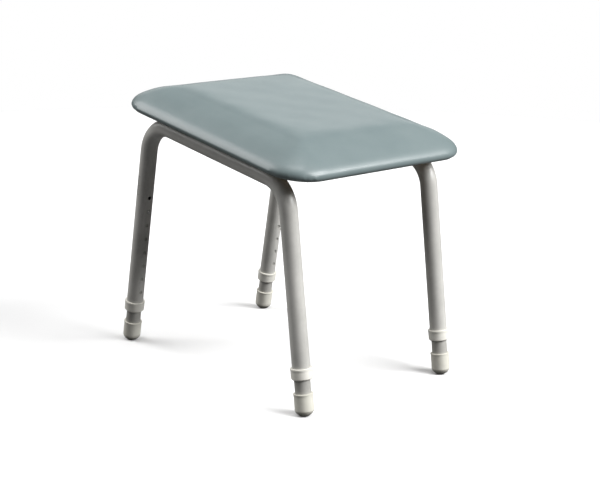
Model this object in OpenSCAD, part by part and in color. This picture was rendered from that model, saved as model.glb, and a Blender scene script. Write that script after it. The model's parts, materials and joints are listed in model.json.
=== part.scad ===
// Shower stool: a padded seat that slopes down to the front, two bent-tube side
// frames and four telescopic legs that are set in height with snap buttons.
// Origin on the floor under the middle of the stool, +X to the front, +Z up.

/* [Seat] */
// Length of the seat, front to back
seat_length = 462; // [440:1:480]
// Width of the seat
seat_width = 385; // [350:1:400]
// How far the seat's middle lies in front of the rails' middle
seat_forward = 16; // [0:1:20]
// Plan radius of the seat's corners
seat_corner_r = 62; // [50:1:75]
// Height of the upright rim around the padding
seat_rim = 21; // [16:1:26]
// Height of the whole upholstered seat
seat_thickness = 46; // [40:1:52]
// Width of the sloping border between the rim and the crown
seat_border = 74; // [60:1:90]
// Slope of the seat, front down (degrees)
seat_slope = 7.8; // [4:0.1:9]

/* [Frame] */
// Outer diameter of the frame and outer leg tube
tube_d = 28.6; // [28:0.1:30]
// Wall of the frame tube
tube_wall = 1.2; // [1:0.05:1.3]
// Height of the rail's axis above the floor, at the middle of the stool
rail_z = 380; // [370:1:420]
// Distance between the two side rails' axes
rail_gap = 303; // [280:1:315]
// Distance from the middle to each foot, on the floor
foot_x = 235.2; // [225:0.1:245]
// Outward lean of the rear legs (degrees)
rear_lean = 10; // [7:0.1:11]
// Outward lean of the front legs (degrees)
front_lean = 8.2; // [7:0.1:10]
// Centreline radius of the bends
bend_r = 55; // [50:1:65]
// Outer diameter of the two cross tubes
cross_tube_d = 22.2; // [19:0.1:25]

/* [Legs] */
// Outer diameter of the inner leg tube
inner_d = 25.4; // [25:0.1:25.6]
// Wall of the inner leg tube
inner_wall = 1.5; // [1.2:0.1:1.8]
// Distance between two height settings
hole_pitch = 25.4; // [20:0.1:26]
// Diameter of the adjustment holes
hole_d = 6.8; // [6.6:0.1:7]
// Height of the rubber ferrule, along the leg
ferrule_h = 36; // [34:1:40]
// Outer diameter of the rubber ferrule
ferrule_d = 30.4; // [29:0.1:32]
// Length of the collar at the end of the outer leg
collar_h = 17.7; // [15:0.1:20]
// Outer diameter of the collar
collar_d = 34; // [33:0.1:36]

/* [Hidden] */
$fn = 64;
eps = 0.01;
FRONT = 1;
REAR = -1;
LEFT = 1;
RIGHT = -1;

// Frame: where the rail's axis would meet the legs' axes, measured on the deck
tube_r = tube_d / 2;
bore_r = tube_r - tube_wall;
rear_corner_x = (rail_z * tan(rear_lean) - foot_x) / (1 + tan(rear_lean) * tan(seat_slope));
front_corner_x = (foot_x - rail_z * tan(front_lean)) / (1 - tan(front_lean) * tan(seat_slope));
rear_turn = 90 - rear_lean + seat_slope;
front_turn = 90 - front_lean - seat_slope;
rear_tangent = bend_r * tan(rear_turn / 2);
front_tangent = bend_r * tan(front_turn / 2);
// The bends are a hair fuller than the straight tube, which laps into them
bend_swell = 0.02;
bend_lap = 0.3;
rear_leg_l = (rear_corner_x + foot_x) / sin(rear_lean);
front_leg_l = (foot_x - front_corner_x) / sin(front_lean);
rail_y = rail_gap / 2;
cross_x = 75;
cross_r = cross_tube_d / 2;
cross_wall = 1.2;
bolt_y = 100;

// Legs, measured along the leg's axis from the floor
ferrule_floor = 10;
washer_t = 2;
inner_start = ferrule_floor + washer_t;
collar_start = 58.4;
collar_end = collar_start + collar_h;
collar_ledge = 4;
outer_start = collar_start + collar_ledge;
first_hole = collar_end + 20.4;
hole_count = 8;
button_hole = 6;
button_at = first_hole + button_hole * hole_pitch;
inner_end = button_at + 22;
leg_clear = 0.3;

// Snap button and its spring, measured from the leg's axis
button_r = 3.1;
button_flange_r = 4.2;
button_flange_t = 0.9;
button_neck = 14.2;
spring_t = 0.6;
spring_w = 8;
spring_near = 9;
spring_far = -10.2;
spring_below = 26;
spring_above = 7;

// Seat, measured up from the rails' axis
fit = 0.1;
vinyl_t = 1.2;
seat_bottom = 19.5;
board_t = 12;
board_inset = 7;
board_bottom = seat_bottom + vinyl_t;
board_top = board_bottom + board_t;
border_rise = (seat_thickness - seat_rim) / seat_border;
hem_w = 24;

// Fasteners
bolt_r = 3;
bolt_hole_r = 3.3;
head_r = 5.6;
head_h = 3.4;
saddle_r = 8;
saddle_bottom = -14.6;
spacer_r = 11;
nut_barrel_r = 4;
nut_flange_r = 9.4;
nut_flange_t = 1.5;
nut_depth = 9;
staple_w = 10;
staple_wire = 0.7;
staple_leg = 6;
staple_inset = 13;
staple_step = 50;

// ---------- places ----------

// Deck: origin on the rails' axes, x along the rails, z square to the seat
module on_deck() {
    translate([0, 0, rail_z]) rotate([0, seat_slope, 0]) children();
}

// Leg: origin on the floor, z up the leg's axis, x towards the other leg of its frame
module at_leg(end, side) {
    lean = end == FRONT ? -front_lean : rear_lean;
    translate([end * foot_x, side * rail_y, 0]) rotate([0, lean, 0])
        rotate([0, 0, end == FRONT ? 180 : 0]) children();
}

// Seat: as the deck, with the origin under the seat's own middle
module on_seat() {
    on_deck() translate([seat_forward, 0, 0]) children();
}

module at_seat_bolts() {
    for (x = [-cross_x, cross_x], y = [-bolt_y, bolt_y]) on_deck() translate([x, y, 0]) children();
}

// ---------- shapes that repeat ----------

module pipe_between(z0, z1, r) {
    translate([0, 0, z0]) cylinder(h = z1 - z0, r = r);
}

// A cylinder along the deck's y axis
module across_deck(x, half, r) {
    translate([x, half, 0]) rotate([90, 0, 0]) cylinder(h = 2 * half, r = r);
}

// From the end of a rail, heading along x: one bend down, then the straight leg
module bent_leg(turn, leg, r) {
    translate([0, 0, -bend_r]) rotate([90, 0, 0]) rotate([0, 0, 90 - turn]) {
        rotate_extrude(angle = turn) translate([bend_r, 0]) circle(r = r + bend_swell);
        translate([bend_r, bend_lap, 0]) rotate([90, 0, 0]) cylinder(h = leg + bend_lap, r = r);
    }
}

// One side frame as a solid rod: a rail, two bends and two legs
module frame_path(side, r, start) {
    rail_x0 = rear_corner_x / cos(seat_slope) + rear_tangent;
    rail_x1 = front_corner_x / cos(seat_slope) - front_tangent;
    on_deck() translate([0, side * rail_y, 0]) {
        translate([rail_x0 - bend_lap, 0, 0]) rotate([0, 90, 0])
            cylinder(h = rail_x1 - rail_x0 + 2 * bend_lap, r = r);
        translate([rail_x0, 0, 0]) rotate([0, 0, 180])
            bent_leg(rear_turn, rear_leg_l - rear_tangent - start, r);
        translate([rail_x1, 0, 0]) bent_leg(front_turn, front_leg_l - front_tangent - start, r);
    }
}

// A rounded rectangle drawn from two bars and four discs
module rounded_plate(length, width, r, h) {
    linear_extrude(h) {
        square([length - 2 * r, width], center = true);
        square([length, width - 2 * r], center = true);
        for (x = [-1, 1], y = [-1, 1])
            translate([x * (length / 2 - r), y * (width / 2 - r)]) circle(r = r);
    }
}

// A long roof over y: two slopes that start at the rim and stop at a flat peak
module border_slopes(half, rim_top, peak) {
    past = 10;
    peak_x = half - (peak - rim_top) / border_rise;
    rotate([90, 0, 0]) linear_extrude(2 * seat_length, center = true)
        polygon([[-half - past, 0], [half + past, 0], [half + past, rim_top - past * border_rise],
                 [peak_x, peak], [-peak_x, peak], [-half - past, rim_top - past * border_rise]]);
}

// The padded form of the seat above a given height, with its skin set in by a given depth
module pad_form(inset, start) {
    half_l = seat_length / 2 - inset;
    half_w = seat_width / 2 - inset;
    rim_top = seat_bottom + seat_rim - inset * (sqrt(1 + border_rise * border_rise) - border_rise);
    top = seat_bottom + seat_thickness - inset;
    past = 5;
    intersection() {
        translate([0, 0, start])
            rounded_plate(2 * half_l, 2 * half_w, seat_corner_r - inset, top + past - start);
        border_slopes(half_l, rim_top, top);
        rotate([0, 0, 90]) border_slopes(half_w, rim_top, top + past);
    }
}

// ---------- seat ----------

module seat_cover() {
    color([0.55, 0.64, 0.65]) on_seat() difference() {
        pad_form(0, seat_bottom);
        pad_form(vinyl_t, board_bottom);
        translate([0, 0, seat_bottom - 1])
            rounded_plate(seat_length - 2 * hem_w, seat_width - 2 * hem_w,
                          seat_corner_r - hem_w, vinyl_t + 2);
    }
}

module seat_foam() {
    color([0.93, 0.88, 0.68]) on_seat() pad_form(vinyl_t + fit, board_top + fit / 2);
}

// A rounded plate at the board's level, set in from the seat's outline; it may stand past both faces
module board_layer(inset, past = 0) {
    translate([0, 0, board_bottom + fit / 2 - past])
        rounded_plate(seat_length - 2 * inset, seat_width - 2 * inset,
                      seat_corner_r - inset, board_t - fit / 2 + 2 * past);
}

// Foam strip glued round the edge of the board
module edge_foam() {
    color([0.93, 0.88, 0.68]) on_seat() difference() {
        board_layer(vinyl_t + fit);
        board_layer(board_inset - fit, 1);
    }
}

module seat_board() {
    color([0.78, 0.64, 0.44]) difference() {
        on_seat() board_layer(board_inset);
        at_seat_bolts() {
            pipe_between(0, board_top + 1, nut_barrel_r + fit / 2);
            pipe_between(board_top - nut_flange_t - fit, board_top + 1, nut_flange_r + fit);
        }
    }
}

module staple() {
    translate([-staple_w / 2, -staple_wire / 2, seat_bottom - staple_wire])
        cube([staple_w, staple_wire, staple_wire]);
    for (x = [-staple_w / 2, staple_w / 2 - staple_wire])
        translate([x, -staple_wire / 2, seat_bottom - eps])
            cube([staple_wire, staple_wire, staple_leg]);
}

module cover_staples() {
    side_y = seat_width / 2 - staple_inset;
    end_x = seat_length / 2 - staple_inset;
    color("silver") on_seat() {
        for (x = [-150 : staple_step : 150], y = [-side_y, side_y]) translate([x, y, 0]) staple();
        for (y = [-100 : staple_step : 100], x = [-end_x, end_x])
            translate([x, y, 0]) rotate([0, 0, 90]) staple();
        for (qx = [-1, 1], qy = [-1, 1], a = [22, 45, 68])
            translate([qx * (seat_length / 2 - seat_corner_r), qy * (seat_width / 2 - seat_corner_r), 0])
                rotate([0, 0, atan2(qy * sin(a), qx * cos(a))])
                    translate([seat_corner_r - staple_inset, 0, 0]) rotate([0, 0, 90]) staple();
    }
}

// Four drive-in nuts in the top of the board
module seat_nuts() {
    color("silver") at_seat_bolts() difference() {
        union() {
            pipe_between(board_top - nut_depth, board_top - eps, nut_barrel_r);
            pipe_between(board_top - nut_flange_t, board_top - eps, nut_flange_r);
        }
        pipe_between(0, board_top + 1, bolt_r + fit / 2);
    }
}

// Four domed screws, up through the cross tubes into the nuts
module seat_bolts() {
    socket_r = 2;
    color("gray") at_seat_bolts() difference() {
        union() {
            pipe_between(saddle_bottom - eps, board_top - 1, bolt_r);
            intersection() {
                pipe_between(saddle_bottom - head_h, saddle_bottom, head_r);
                translate([0, 0, saddle_bottom - head_h + head_r + 0.7]) sphere(r = head_r + 0.7);
            }
        }
        pipe_between(saddle_bottom - head_h - 1, saddle_bottom - head_h + 2, socket_r, $fn = 6);
    }
}

// Four saddles that give the screw heads a flat seat under the round tube
module bolt_saddles() {
    color("dimgray") at_seat_bolts() difference() {
        pipe_between(saddle_bottom, -cross_r / 2, saddle_r);
        across_deck(0, spacer_r + 1, cross_r);
        pipe_between(saddle_bottom - 1, 0, bolt_hole_r);
    }
}

// Four spacers between the cross tubes and the board
module seat_spacers() {
    color("dimgray") at_seat_bolts() difference() {
        pipe_between(cross_r / 2, board_bottom, spacer_r);
        across_deck(0, spacer_r + 1, cross_r);
        pipe_between(0, board_bottom + 1, bolt_hole_r);
    }
}

// ---------- frame ----------

module frame_tube(side) {
    color([0.82, 0.82, 0.8]) difference() {
        frame_path(side, tube_r, outer_start);
        frame_path(side, bore_r, outer_start - 1);
        for (end = [REAR, FRONT], k = [0 : hole_count - 1])
            at_leg(end, side) translate([0, 0, first_hole + k * hole_pitch])
                rotate([0, 90, 0]) cylinder(h = tube_r + 1, d = hole_d);
    }
}

module cross_tube(end) {
    color([0.82, 0.82, 0.8]) on_deck() difference() {
        across_deck(end * cross_x, rail_y, cross_r);
        across_deck(end * cross_x, rail_y + 1, cross_r - cross_wall);
        for (y = [-rail_y, rail_y]) translate([end * cross_x - cross_tube_d, y, 0])
            rotate([0, 90, 0]) cylinder(h = 2 * cross_tube_d, r = tube_r);
        for (y = [-bolt_y, bolt_y]) translate([end * cross_x, y, -cross_tube_d])
            cylinder(h = 2 * cross_tube_d, r = bolt_hole_r);
    }
}

// ---------- legs ----------

// Moulded collar on the end of the outer leg: guides the inner leg and hides the cut tube
module leg_collar(end, side) {
    collar_r = collar_d / 2;
    chamfer = 1.6;
    lip_h = 3.2;
    lip = 0.5;
    color([0.88, 0.87, 0.83]) at_leg(end, side) difference() {
        union() {
            translate([0, 0, collar_start])
                cylinder(h = chamfer, r1 = collar_r - chamfer, r2 = collar_r);
            pipe_between(collar_start + chamfer, collar_end, collar_r);
            pipe_between(collar_end - lip_h, collar_end - 0.6, collar_r + lip);
        }
        pipe_between(outer_start - eps, collar_end + 1, tube_r + fit / 2);
        pipe_between(collar_start - 1, outer_start, inner_d / 2 + leg_clear);
    }
}

module inner_leg(end, side) {
    color([0.76, 0.76, 0.75]) at_leg(end, side) difference() {
        pipe_between(inner_start, inner_end, inner_d / 2);
        pipe_between(inner_start - 1, inner_end + 1, inner_d / 2 - inner_wall);
        translate([0, 0, button_at]) rotate([0, 90, 0]) cylinder(h = inner_d, d = hole_d);
    }
}

// Rubber ferrule: a cup with a domed end that stands flat on the floor
module ferrule(end, side) {
    r = ferrule_d / 2;
    dome_r = 16.2;
    apex = 1.4;
    lip_h = 2.2;
    lip = 0.5;
    color([0.85, 0.84, 0.8]) difference() {
        at_leg(end, side) difference() {
            union() {
                intersection() {
                    pipe_between(-apex, ferrule_h, r);
                    translate([0, 0, dome_r - apex]) union() {
                        sphere(r = dome_r);
                        cylinder(h = ferrule_h, r = dome_r);
                    }
                }
                pipe_between(ferrule_h - lip_h, ferrule_h - 0.3, r + lip);
            }
            pipe_between(ferrule_floor, ferrule_h + 1, inner_d / 2 + fit / 2);
        }
        translate([end * foot_x - 50, side * rail_y - 50, -20]) cube([100, 100, 20]);
    }
}

// Steel washer that keeps the tube from cutting through the ferrule
module foot_washer(end, side) {
    hole_r = 4;
    color("silver") at_leg(end, side) difference() {
        pipe_between(ferrule_floor, inner_start, inner_d / 2 - 0.2);
        pipe_between(ferrule_floor - 1, inner_start + 1, hole_r);
    }
}

// Snap button: a domed pin with a flange that stands on its spring
module snap_button(end, side) {
    color("lightgray") at_leg(end, side) translate([0, 0, button_at]) rotate([0, 90, 0]) {
        pipe_between(spring_near, spring_near + button_flange_t, button_flange_r);
        pipe_between(spring_near, button_neck, button_r);
        translate([0, 0, button_neck]) intersection() {
            sphere(r = button_r);
            cylinder(h = button_r, r = button_r);
        }
    }
}

// Leaf spring folded into a long U inside the inner leg
module button_spring(end, side) {
    bend_mid = (spring_near + spring_far) / 2;
    bend_out = (spring_near - spring_far) / 2;
    color("slategray") at_leg(end, side) translate([0, 0, button_at]) {
        for (x = [spring_near - spring_t, spring_far])
            translate([x, -spring_w / 2, -spring_below])
                cube([spring_t, spring_w, spring_below + spring_above]);
        translate([bend_mid, spring_w / 2, -spring_below]) rotate([90, 0, 0]) difference() {
            cylinder(h = spring_w, r = bend_out);
            translate([0, 0, -1]) cylinder(h = spring_w + 2, r = bend_out - spring_t);
            translate([-2 * bend_out, 0, -1]) cube([4 * bend_out, 2 * bend_out, spring_w + 2]);
        }
    }
}

seat_cover();
seat_foam();
edge_foam();
seat_board();
cover_staples();
seat_nuts();
seat_bolts();
bolt_saddles();
seat_spacers();
frame_tube(LEFT);  // left_frame_tube
frame_tube(RIGHT);  // right_frame_tube
cross_tube(FRONT);  // front_cross_tube
cross_tube(REAR);  // rear_cross_tube
leg_collar(FRONT, LEFT);  // front_left_collar
inner_leg(FRONT, LEFT);  // front_left_inner_leg
ferrule(FRONT, LEFT);  // front_left_ferrule
foot_washer(FRONT, LEFT);  // front_left_washer
snap_button(FRONT, LEFT);  // front_left_button
button_spring(FRONT, LEFT);  // front_left_spring
leg_collar(FRONT, RIGHT);  // front_right_collar
inner_leg(FRONT, RIGHT);  // front_right_inner_leg
ferrule(FRONT, RIGHT);  // front_right_ferrule
foot_washer(FRONT, RIGHT);  // front_right_washer
snap_button(FRONT, RIGHT);  // front_right_button
button_spring(FRONT, RIGHT);  // front_right_spring
leg_collar(REAR, LEFT);  // rear_left_collar
inner_leg(REAR, LEFT);  // rear_left_inner_leg
ferrule(REAR, LEFT);  // rear_left_ferrule
foot_washer(REAR, LEFT);  // rear_left_washer
snap_button(REAR, LEFT);  // rear_left_button
button_spring(REAR, LEFT);  // rear_left_spring
leg_collar(REAR, RIGHT);  // rear_right_collar
inner_leg(REAR, RIGHT);  // rear_right_inner_leg
ferrule(REAR, RIGHT);  // rear_right_ferrule
foot_washer(REAR, RIGHT);  // rear_right_washer
snap_button(REAR, RIGHT);  // rear_right_button
button_spring(REAR, RIGHT);  // rear_right_spring
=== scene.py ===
"""Shower stool: the padded seat, finishes, light and camera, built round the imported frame."""

import json
import math

import bmesh
import bpy
import numpy as np
from mathutils import Matrix, Vector


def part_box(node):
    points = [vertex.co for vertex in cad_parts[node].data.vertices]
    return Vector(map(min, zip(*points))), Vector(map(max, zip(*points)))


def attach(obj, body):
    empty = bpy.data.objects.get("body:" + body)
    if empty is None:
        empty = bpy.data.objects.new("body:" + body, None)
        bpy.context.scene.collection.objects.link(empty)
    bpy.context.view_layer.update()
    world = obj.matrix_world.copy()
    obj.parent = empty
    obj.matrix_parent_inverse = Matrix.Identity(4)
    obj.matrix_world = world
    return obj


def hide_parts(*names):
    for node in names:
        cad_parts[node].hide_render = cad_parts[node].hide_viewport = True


MM = 0.001

# Camera: where it stands, measured from a point on the axis of the stool, and where it looks
CAMERA_AZIMUTH = 49.54
CAMERA_ELEVATION = 16.48
CAMERA_DISTANCE = 2.4187
CAMERA_PIVOT_Z = 0.1298
LOOK_AZIMUTH = 48.83
LOOK_ELEVATION = 14.72
CAMERA_ROLL = 0.93
SENSOR_MM = 36.0
LENS_MM = 85.0

# Studio: the boxes' power in watts, the room's own light and the backdrop's brightness
RIGHT_POWER = 585
LEFT_POWER = 270
TOP_POWER = 160
BACK_POWER = 42
BOX_DISTANCE = 6.0
ROOM_LIGHT = 0.02
BACKDROP = 1.0
FLOOR_BOUNCE = 0.08
FLOOR_TONE = 0.93
FLOOR_R = 2.6
FLOOR_SIDES = 96

# Seat: the rim's height, the width of the crown's slopes and the size of the roll at the edge
RIM_H = 15 * MM
BORDER = 84 * MM
CORNER_R = 62 * MM
ROLL = 11 * MM
ROLL_H = 8 * MM
SWELL_POWER = 2.2
CORNER_BLEND = 1.3
PULL_LINE_H = 0.3 * MM

# Seat's hem: where it starts inside the outline, how wide and how thick it is
HEM_START = 7 * MM
HEM_W = 20 * MM
HEM_T = 0.8 * MM
HEM_ROWS = 9
HEM_STEP = 5 * MM

# Cushion: the remesh, the cloth's frames, the rounds of averaging and the most it may move
VOXEL = 4 * MM
SIM_FRAMES = 20
SIM_EVEN = 40
SIM_CAP = 3 * MM
HELD_H = 6 * MM

# Welds and printed height marks
BEAD_TURNS = 96
BEAD_SIDES = 10
BEAD_R = 2.3 * MM
TICKS = 9
TICK_START = 278 * MM
TICK_PITCH = 4 * MM
TICK_HALF_T = 0.55 * MM
TICK_STEPS = 8
TICK_TURN = 12
INK_LIFT = 0.06 * MM

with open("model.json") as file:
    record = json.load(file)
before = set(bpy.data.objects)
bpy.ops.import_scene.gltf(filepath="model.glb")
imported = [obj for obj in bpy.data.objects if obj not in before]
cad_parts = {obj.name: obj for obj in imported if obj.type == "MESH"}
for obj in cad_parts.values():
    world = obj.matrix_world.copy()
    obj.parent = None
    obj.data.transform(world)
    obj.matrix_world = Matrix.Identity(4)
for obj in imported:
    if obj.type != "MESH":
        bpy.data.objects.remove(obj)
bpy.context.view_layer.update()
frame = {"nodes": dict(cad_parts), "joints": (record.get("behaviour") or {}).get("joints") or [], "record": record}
nodes = frame["nodes"]
scene = bpy.context.scene


# ---------- the deck: x along the rails, z square to the seat ----------

def middle(node):
    low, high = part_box(node)
    return (low + high) / 2


def deck_frame():
    """The matrix from the deck to the world: its origin lies between the two cross tubes."""
    front, rear = middle("front_cross_tube"), middle("rear_cross_tube")
    slope = math.atan2(rear.z - front.z, front.x - rear.x)
    origin = (front + rear) / 2
    return Matrix.Translation(origin) @ Matrix.Rotation(slope, 4, "Y")


DECK = deck_frame()


def deck_box(node):
    """Lowest and highest corner of a CAD node, measured in the deck's frame."""
    inverse = DECK.inverted()
    points = np.array([inverse @ v.co for v in nodes[node].data.vertices])
    return points.min(0), points.max(0)


cover_low, cover_high = deck_box("seat_cover")
SEAT = DECK @ Matrix.Translation(((cover_low[0] + cover_high[0]) / 2, 0, 0))
HALF_L = (cover_high[0] - cover_low[0]) / 2
HALF_W = (cover_high[1] - cover_low[1]) / 2
SEAT_BOTTOM = cover_low[2]
SEAT_TOP = cover_high[2]


# ---------- small helpers ----------

def new_object(name, data):
    obj = bpy.data.objects.new(name, data)
    scene.collection.objects.link(obj)
    return obj


def mesh_object(name, points, faces, matrix=None):
    mesh = bpy.data.meshes.new(name)
    mesh.from_pydata([tuple(p) for p in points], [], faces)
    mesh.update()
    if matrix is not None:
        mesh.transform(matrix)
    return new_object(name, mesh)


def smooth(obj):
    obj.data.polygons.foreach_set("use_smooth", [True] * len(obj.data.polygons))


def recalc_normals(obj):
    bm = bmesh.new()
    bm.from_mesh(obj.data)
    bmesh.ops.recalc_face_normals(bm, faces=bm.faces)
    bm.to_mesh(obj.data)
    bm.free()


def apply_modifiers(obj):
    """Bakes an object's modifiers into its mesh."""
    graph = bpy.context.evaluated_depsgraph_get()
    mesh = bpy.data.meshes.new_from_object(obj.evaluated_get(graph))
    obj.modifiers.clear()
    obj.data = mesh


def rounded_outline(half_x, half_y, radius, steps=14):
    """Points round a rounded rectangle, each with its outward direction."""
    out = []
    for quarter, (sx, sy) in enumerate(((1, 1), (-1, 1), (-1, -1), (1, -1))):
        cx, cy = sx * (half_x - radius), sy * (half_y - radius)
        for i in range(steps + 1):
            a = math.radians(90 * (quarter + i / steps))
            nx, ny = math.cos(a), math.sin(a)
            out.append((cx + radius * nx, cy + radius * ny, nx, ny))
    return out


def ease(t):
    """A soft step from 0 to 1."""
    t = min(max(t, 0.0), 1.0)
    return t * t * (3 - 2 * t)


def swell(t):
    """A full, pillow-like rise from 0 to 1 that levels out at the end."""
    t = min(max(t, 0.0), 1.0)
    return 1 - (1 - t) ** SWELL_POWER


# ---------- materials ----------

class Nodes:
    """A new procedural material and short ways to add nodes to it."""

    def __init__(self, name, roughness, metallic=0.0):
        self.material = bpy.data.materials.new(name)
        self.material.use_nodes = True
        self.tree = self.material.node_tree
        self.shader = self.tree.nodes["Principled BSDF"]
        self.shader.inputs["Roughness"].default_value = roughness
        self.shader.inputs["Metallic"].default_value = metallic
        self.place = self.add("ShaderNodeTexCoord").outputs["Object"]

    def add(self, kind, **settings):
        node = self.tree.nodes.new(kind)
        for key, value in settings.items():
            setattr(node, key, value)
        return node

    def link(self, source, target):
        self.tree.links.new(source, target)

    def noise(self, scale, detail=2.0, roughness=0.5):
        node = self.add("ShaderNodeTexNoise")
        node.inputs["Scale"].default_value = scale
        node.inputs["Detail"].default_value = detail
        node.inputs["Roughness"].default_value = roughness
        self.link(self.place, node.inputs["Vector"])
        return node.outputs["Fac"]

    def cells(self, scale):
        node = self.add("ShaderNodeTexVoronoi")
        node.inputs["Scale"].default_value = scale
        self.link(self.place, node.inputs["Vector"])
        return node.outputs["Distance"]

    def ramp(self, source, stops):
        node = self.add("ShaderNodeValToRGB")
        ramp = node.color_ramp
        while len(ramp.elements) < len(stops):
            ramp.elements.new(0.5)
        for element, (at, colour) in zip(ramp.elements, stops):
            element.position = at
            element.color = (*colour, 1.0)
        self.link(source, node.inputs["Fac"])
        return node.outputs["Color"]

    def spread(self, source, low, high):
        """Maps 0..1 onto a range."""
        node = self.add("ShaderNodeMapRange")
        node.inputs["To Min"].default_value = low
        node.inputs["To Max"].default_value = high
        self.link(source, node.inputs["Value"])
        return node.outputs["Result"]

    def sum(self, a, b, share):
        """a + share * b"""
        node = self.add("ShaderNodeMath", operation="MULTIPLY_ADD")
        node.inputs[1].default_value = share
        self.link(b, node.inputs[0])
        self.link(a, node.inputs[2])
        return node.outputs[0]

    def mix(self, factor, a, b):
        node = self.add("ShaderNodeMix", data_type="RGBA")
        self.link(factor, node.inputs["Factor"])
        self.link(a, node.inputs["A"])
        self.link(b, node.inputs["B"])
        return node.outputs["Result"]

    def bump(self, height, distance, strength):
        node = self.add("ShaderNodeBump")
        node.inputs["Distance"].default_value = distance
        node.inputs["Strength"].default_value = strength
        self.link(height, node.inputs["Height"])
        self.link(node.outputs["Normal"], self.shader.inputs["Normal"])

    def colour(self, source):
        self.link(source, self.shader.inputs["Base Color"])

    def rough(self, source, low, high):
        self.link(self.spread(source, low, high), self.shader.inputs["Roughness"])


def vinyl_material():
    """Grey-teal upholstery vinyl: a fine pebble grain, a little uneven in tone and gloss, with painted shade in
    the grain's pits.
    """
    m = Nodes("vinyl", 0.4)
    tone = m.noise(9, 4, 0.6)
    base = m.ramp(tone, [(0.3, (0.155, 0.200, 0.205)), (0.7, (0.182, 0.227, 0.231))])
    grain = m.cells(1150)
    fine = m.noise(2400, 2)
    # Painted shade: the colour is darkened in the grain's pits, where the bump is lowest.
    pit_shade = m.ramp(grain, [(0.0, (0.72, 0.72, 0.72)), (0.45, (1, 1, 1))])
    shade = m.add("ShaderNodeMix", data_type="RGBA", blend_type="MULTIPLY")
    shade.inputs["Factor"].default_value = 0.5
    m.link(base, shade.inputs["A"])
    m.link(pit_shade, shade.inputs["B"])
    m.colour(shade.outputs["Result"])
    m.rough(m.noise(26, 3), 0.36, 0.48)
    m.bump(m.sum(grain, fine, 0.5), 0.00012, 0.55)
    m.shader.inputs["Coat Weight"].default_value = 0.15
    m.shader.inputs["Coat Roughness"].default_value = 0.2
    return m.material


def coat_material(name, light, dark, low, high):
    """Satin powder coat: orange peel, a little uneven in tone and gloss."""
    m = Nodes(name, 0.4)
    tone = m.noise(14, 5, 0.6)
    scuffs = m.noise(160, 6, 0.7)
    m.colour(m.ramp(m.sum(tone, scuffs, 0.25), [(0.38, dark), (0.78, light)]))
    m.rough(m.noise(60, 4), low, high)
    m.bump(m.sum(m.noise(850, 2), m.noise(3000, 1), 0.3), 0.00008, 0.5)
    return m.material


def collar_material():
    """Off-white moulded plastic with a faint spark-eroded texture."""
    m = Nodes("collar_plastic", 0.42)
    m.colour(m.ramp(m.noise(45, 4), [(0.3, (0.77, 0.755, 0.69)), (0.7, (0.85, 0.835, 0.77))]))
    m.rough(m.noise(200, 3), 0.36, 0.52)
    m.bump(m.noise(2200, 3), 0.00006, 0.5)
    return m.material


def rubber_material():
    """Off-white rubber: matt, a little darker towards the floor."""
    m = Nodes("ferrule_rubber", 0.6)
    split = m.add("ShaderNodeSeparateXYZ")
    m.link(m.place, split.inputs[0])
    height = m.add("ShaderNodeMapRange")
    height.inputs["From Min"].default_value = 0.0
    height.inputs["From Max"].default_value = 0.014
    m.link(split.outputs["Z"], height.inputs["Value"])
    # The colour darkens over the lowest 14 mm, towards the floor.
    floor_fade = m.sum(height.outputs["Result"], m.noise(180, 5, 0.7), 0.4)
    pale_rubber = m.ramp(m.noise(40, 4), [(0.3, (0.66, 0.645, 0.57)), (0.7, (0.76, 0.745, 0.67))])
    dark_rubber = m.ramp(m.noise(90, 4), [(0.3, (0.24, 0.23, 0.20)), (0.7, (0.36, 0.35, 0.31))])
    m.colour(m.mix(m.ramp(floor_fade, [(0.35, (0, 0, 0)), (1.0, (1, 1, 1))]), dark_rubber, pale_rubber))
    m.rough(m.noise(120, 3), 0.5, 0.7)
    m.bump(m.noise(1500, 3), 0.00008, 0.5)
    return m.material


def metal_material(name, colour, dark, low, high):
    """Bright metal with fine drawn scratches."""
    m = Nodes(name, 0.3, 1.0)
    stretch = m.add("ShaderNodeMapping")
    stretch.inputs["Scale"].default_value = (1.0, 1.0, 0.08)
    m.link(m.place, stretch.inputs["Vector"])
    m.place = stretch.outputs["Vector"]
    m.colour(m.ramp(m.noise(90, 5), [(0.3, dark), (0.7, colour)]))
    m.rough(m.noise(700, 4), low, high)
    m.bump(m.noise(1800, 3), 0.00003, 0.4)
    return m.material


def nylon_material():
    """Dark moulded nylon."""
    m = Nodes("grey_nylon", 0.5)
    m.colour(m.ramp(m.noise(60, 3), [(0.3, (0.045, 0.047, 0.05)), (0.7, (0.075, 0.078, 0.08))]))
    m.rough(m.noise(300, 2), 0.4, 0.6)
    m.bump(m.noise(2000, 2), 0.00005, 0.4)
    return m.material


def plywood_material():
    """Birch plywood: long grain with fine pores."""
    m = Nodes("plywood", 0.55)
    along = m.add("ShaderNodeMapping")
    along.inputs["Scale"].default_value = (1.0, 9.0, 9.0)
    m.link(m.place, along.inputs["Vector"])
    m.place = along.outputs["Vector"]
    grain = m.noise(16, 8, 0.65)
    pores = m.noise(160, 3)
    m.colour(m.ramp(m.sum(grain, pores, 0.2), [
        (0.35, (0.30, 0.19, 0.10)), (0.55, (0.46, 0.32, 0.18)), (0.8, (0.56, 0.42, 0.26))]))
    m.rough(pores, 0.45, 0.65)
    m.bump(m.sum(grain, pores, 0.5), 0.0002, 0.5)
    return m.material


def ink_material():
    """Worn grey printing ink."""
    m = Nodes("print_ink", 0.5)
    m.colour(m.ramp(m.noise(500, 3), [(0.35, (0.03, 0.03, 0.035)), (0.75, (0.11, 0.11, 0.11))]))
    m.rough(m.noise(300, 2), 0.4, 0.6)
    m.bump(m.noise(2500, 2), 0.00003, 0.4)
    return m.material


def set_material(obj, material):
    obj.data.materials.clear()
    obj.data.materials.append(material)


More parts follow.
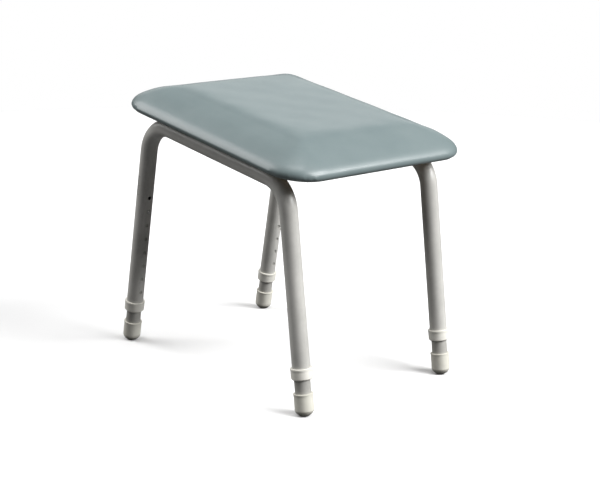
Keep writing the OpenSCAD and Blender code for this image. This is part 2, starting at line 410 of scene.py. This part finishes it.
MATERIALS = {
    "vinyl": vinyl_material(),
    "powder_coat": coat_material("powder_coat", (0.60, 0.59, 0.56), (0.46, 0.455, 0.43), 0.28, 0.42),
    "inner_coat": coat_material("inner_coat", (0.50, 0.49, 0.46), (0.36, 0.355, 0.33), 0.3, 0.5),
    "collar_plastic": collar_material(),
    "ferrule_rubber": rubber_material(),
    "zinc_steel": metal_material("zinc_steel", (0.72, 0.72, 0.70), (0.5, 0.5, 0.5), 0.2, 0.4),
    "spring_steel": metal_material("spring_steel", (0.22, 0.24, 0.30), (0.12, 0.13, 0.17), 0.25, 0.4),
    "grey_nylon": nylon_material(),
    "plywood": plywood_material(),
    "foam": None,  # the cushion replaces every foam node
}


def dress_cad_nodes():
    """Gives every CAD node that stays its finish."""
    for part in frame["record"]["subparts"]:
        material = MATERIALS[part["material_slot"]]
        if material is not None:
            set_material(nodes[part["node"]], material)


# ---------- the seat ----------

def edge_depth(x, y):
    """How far a point of the deck lies inside the seat's outline."""
    past_x = max(abs(x) - (HALF_L - CORNER_R), 0.0)
    past_y = max(abs(y) - (HALF_W - CORNER_R), 0.0)
    if past_x > 0 and past_y > 0:
        return CORNER_R - math.hypot(past_x, past_y)
    return min(HALF_L - abs(x), HALF_W - abs(y))


def top_height(x, y):
    """Height of the padding above the seat's bottom: a roll, then full slopes to a flat crown."""
    roll = min(max(edge_depth(x, y) / ROLL, 0.0), 1.0)
    edge = RIM_H - ROLL_H * (1 - math.sqrt(1 - (1 - roll) ** 2))
    along = 1 - swell((HALF_L - abs(x)) / BORDER)
    across = 1 - swell((HALF_W - abs(y)) / BORDER)
    fall = min((along ** CORNER_BLEND + across ** CORNER_BLEND) ** (1 / CORNER_BLEND), 1.0)
    return edge + (SEAT_TOP - SEAT_BOTTOM - RIM_H) * (1 - fall)


def cushion_form():
    """The seat as a closed form: hollow over the board, a rim that curls under and a flat crown.

    Its rings go from the underside out to the edge and then in over the top. Each has a depth
    inside the outline, and those below the edge have a height above the seat's bottom, in mm.
    """
    curl = [(24, 7), (20, 5), (17, 0), (13, -0.3), (9, 0.1),
            (6, 0.8), (3.4, 2.0), (1.5, 3.8), (0.4, 5.6)]
    depths = [0, 0.5, 1.5, 3, 5, 8, 12, 17, 24, 32, 41, 51, 62, 74, 88, 104, 122, 142, 160]
    rings = [(depth * MM, height * MM) for depth, height in curl]
    rings += [(depth * MM, None) for depth in depths]
    points, faces = [], []
    for depth, height in rings:
        radius = max(CORNER_R - depth, 6 * MM)
        for x, y, _, _ in rounded_outline(HALF_L - depth, HALF_W - depth, radius):
            points.append((x, y, SEAT_BOTTOM + (top_height(x, y) if height is None else height)))
    count = len(points) // len(rings)
    for ring in range(len(rings) - 1):
        for i in range(count):
            j = (i + 1) % count
            a, b = ring * count, (ring + 1) * count
            faces.append((a + i, a + j, b + j, b + i))
    last = (len(rings) - 1) * count
    faces.append(tuple(last + i for i in range(count)))
    faces.append(tuple(reversed(range(count))))
    form = mesh_object("seat_cushion", points, faces)
    recalc_normals(form)
    return form


def remesh(obj):
    modifier = obj.modifiers.new("remesh", "REMESH")
    modifier.mode = "VOXEL"
    modifier.voxel_size = VOXEL
    apply_modifiers(obj)


def even_out(obj, values, rounds):
    """Averages a value of each point with its neighbours' a number of times."""
    edges = np.array([e.vertices[:] for e in obj.data.edges])
    count = np.bincount(edges.ravel(), minlength=len(values))[:, None] + 1
    for _ in range(rounds):
        total = values.copy()
        np.add.at(total, edges[:, 0], values[edges[:, 1]])
        np.add.at(total, edges[:, 1], values[edges[:, 0]])
        values = total / count
    return values


def inflate(obj):
    """Blows the cushion up a little as cloth, held to the board below and freer towards the crown."""
    held = obj.vertex_groups.new(name="held")
    co = np.array([v.co for v in obj.data.vertices])
    for i, z in enumerate(co[:, 2]):
        held.add([i], 1 - ease((z - SEAT_BOTTOM - HELD_H) / RIM_H), "REPLACE")
    cloth = obj.modifiers.new("cloth", "CLOTH")
    settings = cloth.settings
    settings.quality = 5
    settings.mass = 0.4
    settings.tension_stiffness = 25
    settings.compression_stiffness = 25
    settings.shear_stiffness = 12
    settings.bending_stiffness = 2.5
    settings.use_pressure = True
    settings.uniform_pressure_force = 4
    settings.vertex_group_mass = "held"
    settings.effector_weights.gravity = 0
    cloth.collision_settings.use_collision = False
    cloth.point_cache.frame_start = 1
    cloth.point_cache.frame_end = SIM_FRAMES
    for step in range(1, SIM_FRAMES + 1):
        scene.frame_set(step)
    apply_modifiers(obj)
    move = even_out(obj, np.array([v.co for v in obj.data.vertices]) - co, SIM_EVEN)
    length = np.linalg.norm(move, axis=1, keepdims=True)
    capped = co + move * (SIM_CAP * np.tanh(length / SIM_CAP) / np.maximum(length, 1e-9))
    obj.data.vertices.foreach_set("co", capped.astype(np.float32).ravel())
    obj.data.update()
    scene.frame_set(1)


def relax(obj, steps):
    """Smooths a mesh a few times."""
    bm = bmesh.new()
    bm.from_mesh(obj.data)
    for _ in range(steps):
        bmesh.ops.smooth_vert(bm, verts=bm.verts, factor=0.5, use_axis_x=True,
                              use_axis_y=True, use_axis_z=True)
    bm.to_mesh(obj.data)
    bm.free()


def pull_lines(obj):
    """Gives the vinyl on top faint pull lines, which fade towards the edge."""
    for v in obj.data.vertices:
        if v.co.z - SEAT_BOTTOM > RIM_H / 2:
            share = ease(edge_depth(v.co.x, v.co.y) / BORDER)
            v.co.z += PULL_LINE_H * math.sin(v.co.x * 70) * math.sin(v.co.y * 83 + 1.3) * share


def make_cushion():
    """The padded seat: its form, remeshed, inflated as cloth and smoothed."""
    cushion = cushion_form()
    remesh(cushion)
    relax(cushion, 2)
    inflate(cushion)
    relax(cushion, 1)
    pull_lines(cushion)
    cushion.data.transform(SEAT)
    sub = cushion.modifiers.new("finer", "SUBSURF")
    sub.levels = 1
    sub.render_levels = 1
    smooth(cushion)
    set_material(cushion, MATERIALS["vinyl"])
    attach(cushion, "frame")
    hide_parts("seat_cover", "seat_foam", "edge_foam")


def hem_outline():
    """The seat's outline at close, even steps, each point with its outward direction."""
    outline = rounded_outline(HALF_L, HALF_W, CORNER_R, 40)
    dense = []
    for i, a in enumerate(outline):
        b = outline[(i + 1) % len(outline)]
        parts = max(1, round(math.dist(a[:2], b[:2]) / HEM_STEP))
        for k in range(parts):
            t = k / parts
            dense.append([a[n] + (b[n] - a[n]) * t for n in range(4)])
    return dense


def make_hem():
    """The vinyl turned under the board, with pleats round the corners and a wavy cut edge."""
    points, faces = [], []
    outline = hem_outline()
    for x, y, nx, ny in outline:
        angle = math.degrees(math.atan2(ny, nx))
        corner = ease(1 - abs(abs(angle) % 90 - 45) / 45)
        fold = math.sin(angle * 0.72)
        width = HEM_W + 0.7 * MM * math.sin(x * 61) * math.cos(y * 47)
        for row in range(HEM_ROWS):
            share = row / (HEM_ROWS - 1)
            depth = HEM_START + width * share
            pleat = corner * 0.3 * MM * fold * share
            z = SEAT_BOTTOM - 0.1 * MM + 0.9 * MM * (1 - ease(share * 4)) + pleat
            points.append((x - nx * depth, y - ny * depth, z))
    for i in range(len(outline)):
        a, b = i * HEM_ROWS, (i + 1) % len(outline) * HEM_ROWS
        for row in range(HEM_ROWS - 1):
            faces.append((a + row, b + row, b + row + 1, a + row + 1))
    hem = mesh_object("seat_hem", points, faces, SEAT)
    recalc_normals(hem)
    solid = hem.modifiers.new("thickness", "SOLIDIFY")
    solid.thickness = HEM_T
    solid.offset = 0.0
    smooth(hem)
    set_material(hem, MATERIALS["vinyl"])
    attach(hem, "frame")


# ---------- welds and marks on the frame ----------

def bead_mesh(rail_y, rail_r, cross_x, cross_r, sign):
    """Points and faces of one ring of weld round a cross tube, where it meets the rail."""
    points, faces = [], []
    for i in range(BEAD_TURNS):
        a = 2 * math.pi * i / BEAD_TURNS
        r = BEAD_R * (1 + 0.13 * math.sin(a * 24))
        out = Vector((math.cos(a), 0, math.sin(a)))
        on_tube = out * cross_r
        on_tube.y = rail_y - math.sqrt(rail_r ** 2 - on_tube.z ** 2)
        for k in range(BEAD_SIDES):
            b = 2 * math.pi * k / BEAD_SIDES
            p = on_tube + out * (r * math.cos(b) * 0.9) - Vector((0, 1, 0)) * (r * math.sin(b))
            points.append((cross_x + p.x, sign * p.y, p.z))
    for i in range(BEAD_TURNS):
        a, b = i * BEAD_SIDES, (i + 1) % BEAD_TURNS * BEAD_SIDES
        for k in range(BEAD_SIDES):
            m = (k + 1) % BEAD_SIDES
            faces.append((a + k, b + k, b + m, a + m))
    return points, faces


def weld_beads():
    """A rippled fillet where each cross tube's end meets a rail."""
    rail_low, rail_high = deck_box("left_frame_tube")
    rail_y = (rail_low[1] + rail_high[1]) / 2
    rail_r = (rail_high[1] - rail_low[1]) / 2
    for end in ("front", "rear"):
        low, high = deck_box(end + "_cross_tube")
        cross_x, cross_r = (high[0] + low[0]) / 2, (high[0] - low[0]) / 2
        for side, sign in (("left", 1), ("right", -1)):
            points, faces = bead_mesh(rail_y, rail_r, cross_x, cross_r, sign)
            bead = mesh_object(f"weld_{end}_{side}", points, faces, DECK)
            recalc_normals(bead)
            smooth(bead)
            set_material(bead, MATERIALS["powder_coat"])
            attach(bead, "frame")


def leg_axis(leg):
    """A point on the leg's axis at the floor, and its unit direction up the leg."""
    joint = next(j for j in frame["joints"] if j["name"] == leg + "_extend")
    up = -Vector(joint["axis"])
    mount = next(m for m in frame["record"]["mounts"] if m["name"] == leg + "_foot")
    return Vector(mount["pos_m"]), up.normalized()


def height_marks():
    """A short plain scale of printed ticks on the outside of the rear right leg."""
    foot, up = leg_axis("rear_right")
    low, high = deck_box("right_frame_tube")
    ink_r = (high[1] - low[1]) / 2 + INK_LIFT
    side = Vector((0, -1, 0))
    back = side.cross(up).normalized()
    points, faces = [], []
    for tick in range(TICKS):
        at = TICK_START + tick * TICK_PITCH
        half = 15 if tick % 4 == 0 else 9
        first = len(points)
        for i in range(TICK_STEPS + 1):
            a = math.radians(TICK_TURN - half + 2 * half * i / TICK_STEPS)
            out = side * math.cos(a) + back * math.sin(a)
            for rise in (-TICK_HALF_T, TICK_HALF_T):
                points.append(foot + up * (at + rise) + out * ink_r)
        for n in range(first, first + 2 * TICK_STEPS, 2):
            faces.append((n, n + 2, n + 3, n + 1))
    marks = mesh_object("height_marks", points, faces)
    set_material(marks, ink_material())
    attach(marks, "frame")


# ---------- stage, light and camera ----------

def direction(azimuth, elevation):
    """Unit vector at an azimuth in degrees from -Y towards +X, and an elevation."""
    a, e = math.radians(azimuth), math.radians(elevation)
    return Vector((math.sin(a) * math.cos(e), -math.cos(a) * math.cos(e), math.sin(e)))


def make_camera():
    """A fixed camera, placed about one point and aimed and rolled on its own."""
    data = bpy.data.cameras.new("camera")
    data.sensor_width = SENSOR_MM
    data.lens = LENS_MM
    camera = new_object("camera", data)
    back = direction(LOOK_AZIMUTH, LOOK_ELEVATION)
    right = Vector((0, 0, 1)).cross(back).normalized()
    up = back.cross(right)
    turn = Matrix((right, up, back)).transposed().to_4x4()
    roll = Matrix.Rotation(math.radians(CAMERA_ROLL), 4, "Z")
    place = direction(CAMERA_AZIMUTH, CAMERA_ELEVATION) * CAMERA_DISTANCE
    camera.matrix_world = Matrix.Translation(place + Vector((0, 0, CAMERA_PIVOT_Z))) @ turn @ roll
    scene.camera = camera


def soft_box(name, azimuth, elevation, power, size):
    """A large rectangular light, aimed at the middle of the stool."""
    data = bpy.data.lights.new(name, "AREA")
    data.shape = "RECTANGLE"
    data.size, data.size_y = size
    data.energy = power
    light = new_object(name, data)
    target = Vector((0, 0, 0.25))
    place = target + direction(azimuth, elevation) * BOX_DISTANCE
    light.location = place
    light.rotation_euler = (place - target).to_track_quat("Z", "Y").to_euler()


def make_world():
    """A pale backdrop that lights the object only faintly, as a studio's far walls do."""
    world = bpy.data.worlds.new("studio")
    world.use_nodes = True
    tree = world.node_tree
    backdrop = tree.nodes["Background"]
    backdrop.inputs["Color"].default_value = (1, 1, 1, 1)
    path = tree.nodes.new("ShaderNodeLightPath")
    strength = tree.nodes.new("ShaderNodeMapRange")
    strength.inputs["To Min"].default_value = ROOM_LIGHT
    strength.inputs["To Max"].default_value = BACKDROP
    tree.links.new(path.outputs["Is Camera Ray"], strength.inputs["Value"])
    tree.links.new(strength.outputs["Result"], backdrop.inputs["Strength"])
    scene.world = world


def make_stage():
    """A pale round floor that bounces little light, the backdrop and four soft boxes."""
    angles = [2 * math.pi * i / FLOOR_SIDES for i in range(FLOOR_SIDES)]
    rim = [(FLOOR_R * math.cos(a), FLOOR_R * math.sin(a), 0) for a in angles]
    floor = mesh_object("floor", rim, [tuple(range(FLOOR_SIDES))])
    m = Nodes("floor", 0.9)
    seen = m.add("ShaderNodeLightPath").outputs["Is Camera Ray"]
    m.colour(m.ramp(seen, [(0.0, (FLOOR_BOUNCE,) * 3), (1.0, (FLOOR_TONE,) * 3)]))
    set_material(floor, m.material)
    make_world()
    soft_box("right_box", 119, 36, RIGHT_POWER, (4.0, 2.6))
    soft_box("left_box", -58, 36, LEFT_POWER, (4.2, 3.6))
    soft_box("top_box", 60, 80, TOP_POWER, (3.2, 3.2))
    soft_box("back_box", 229, 22, BACK_POWER, (5.0, 2.6))
    scene.view_settings.view_transform = "Standard"


make_camera()
make_stage()
dress_cad_nodes()
make_cushion()
make_hem()
weld_beads()
height_marks()
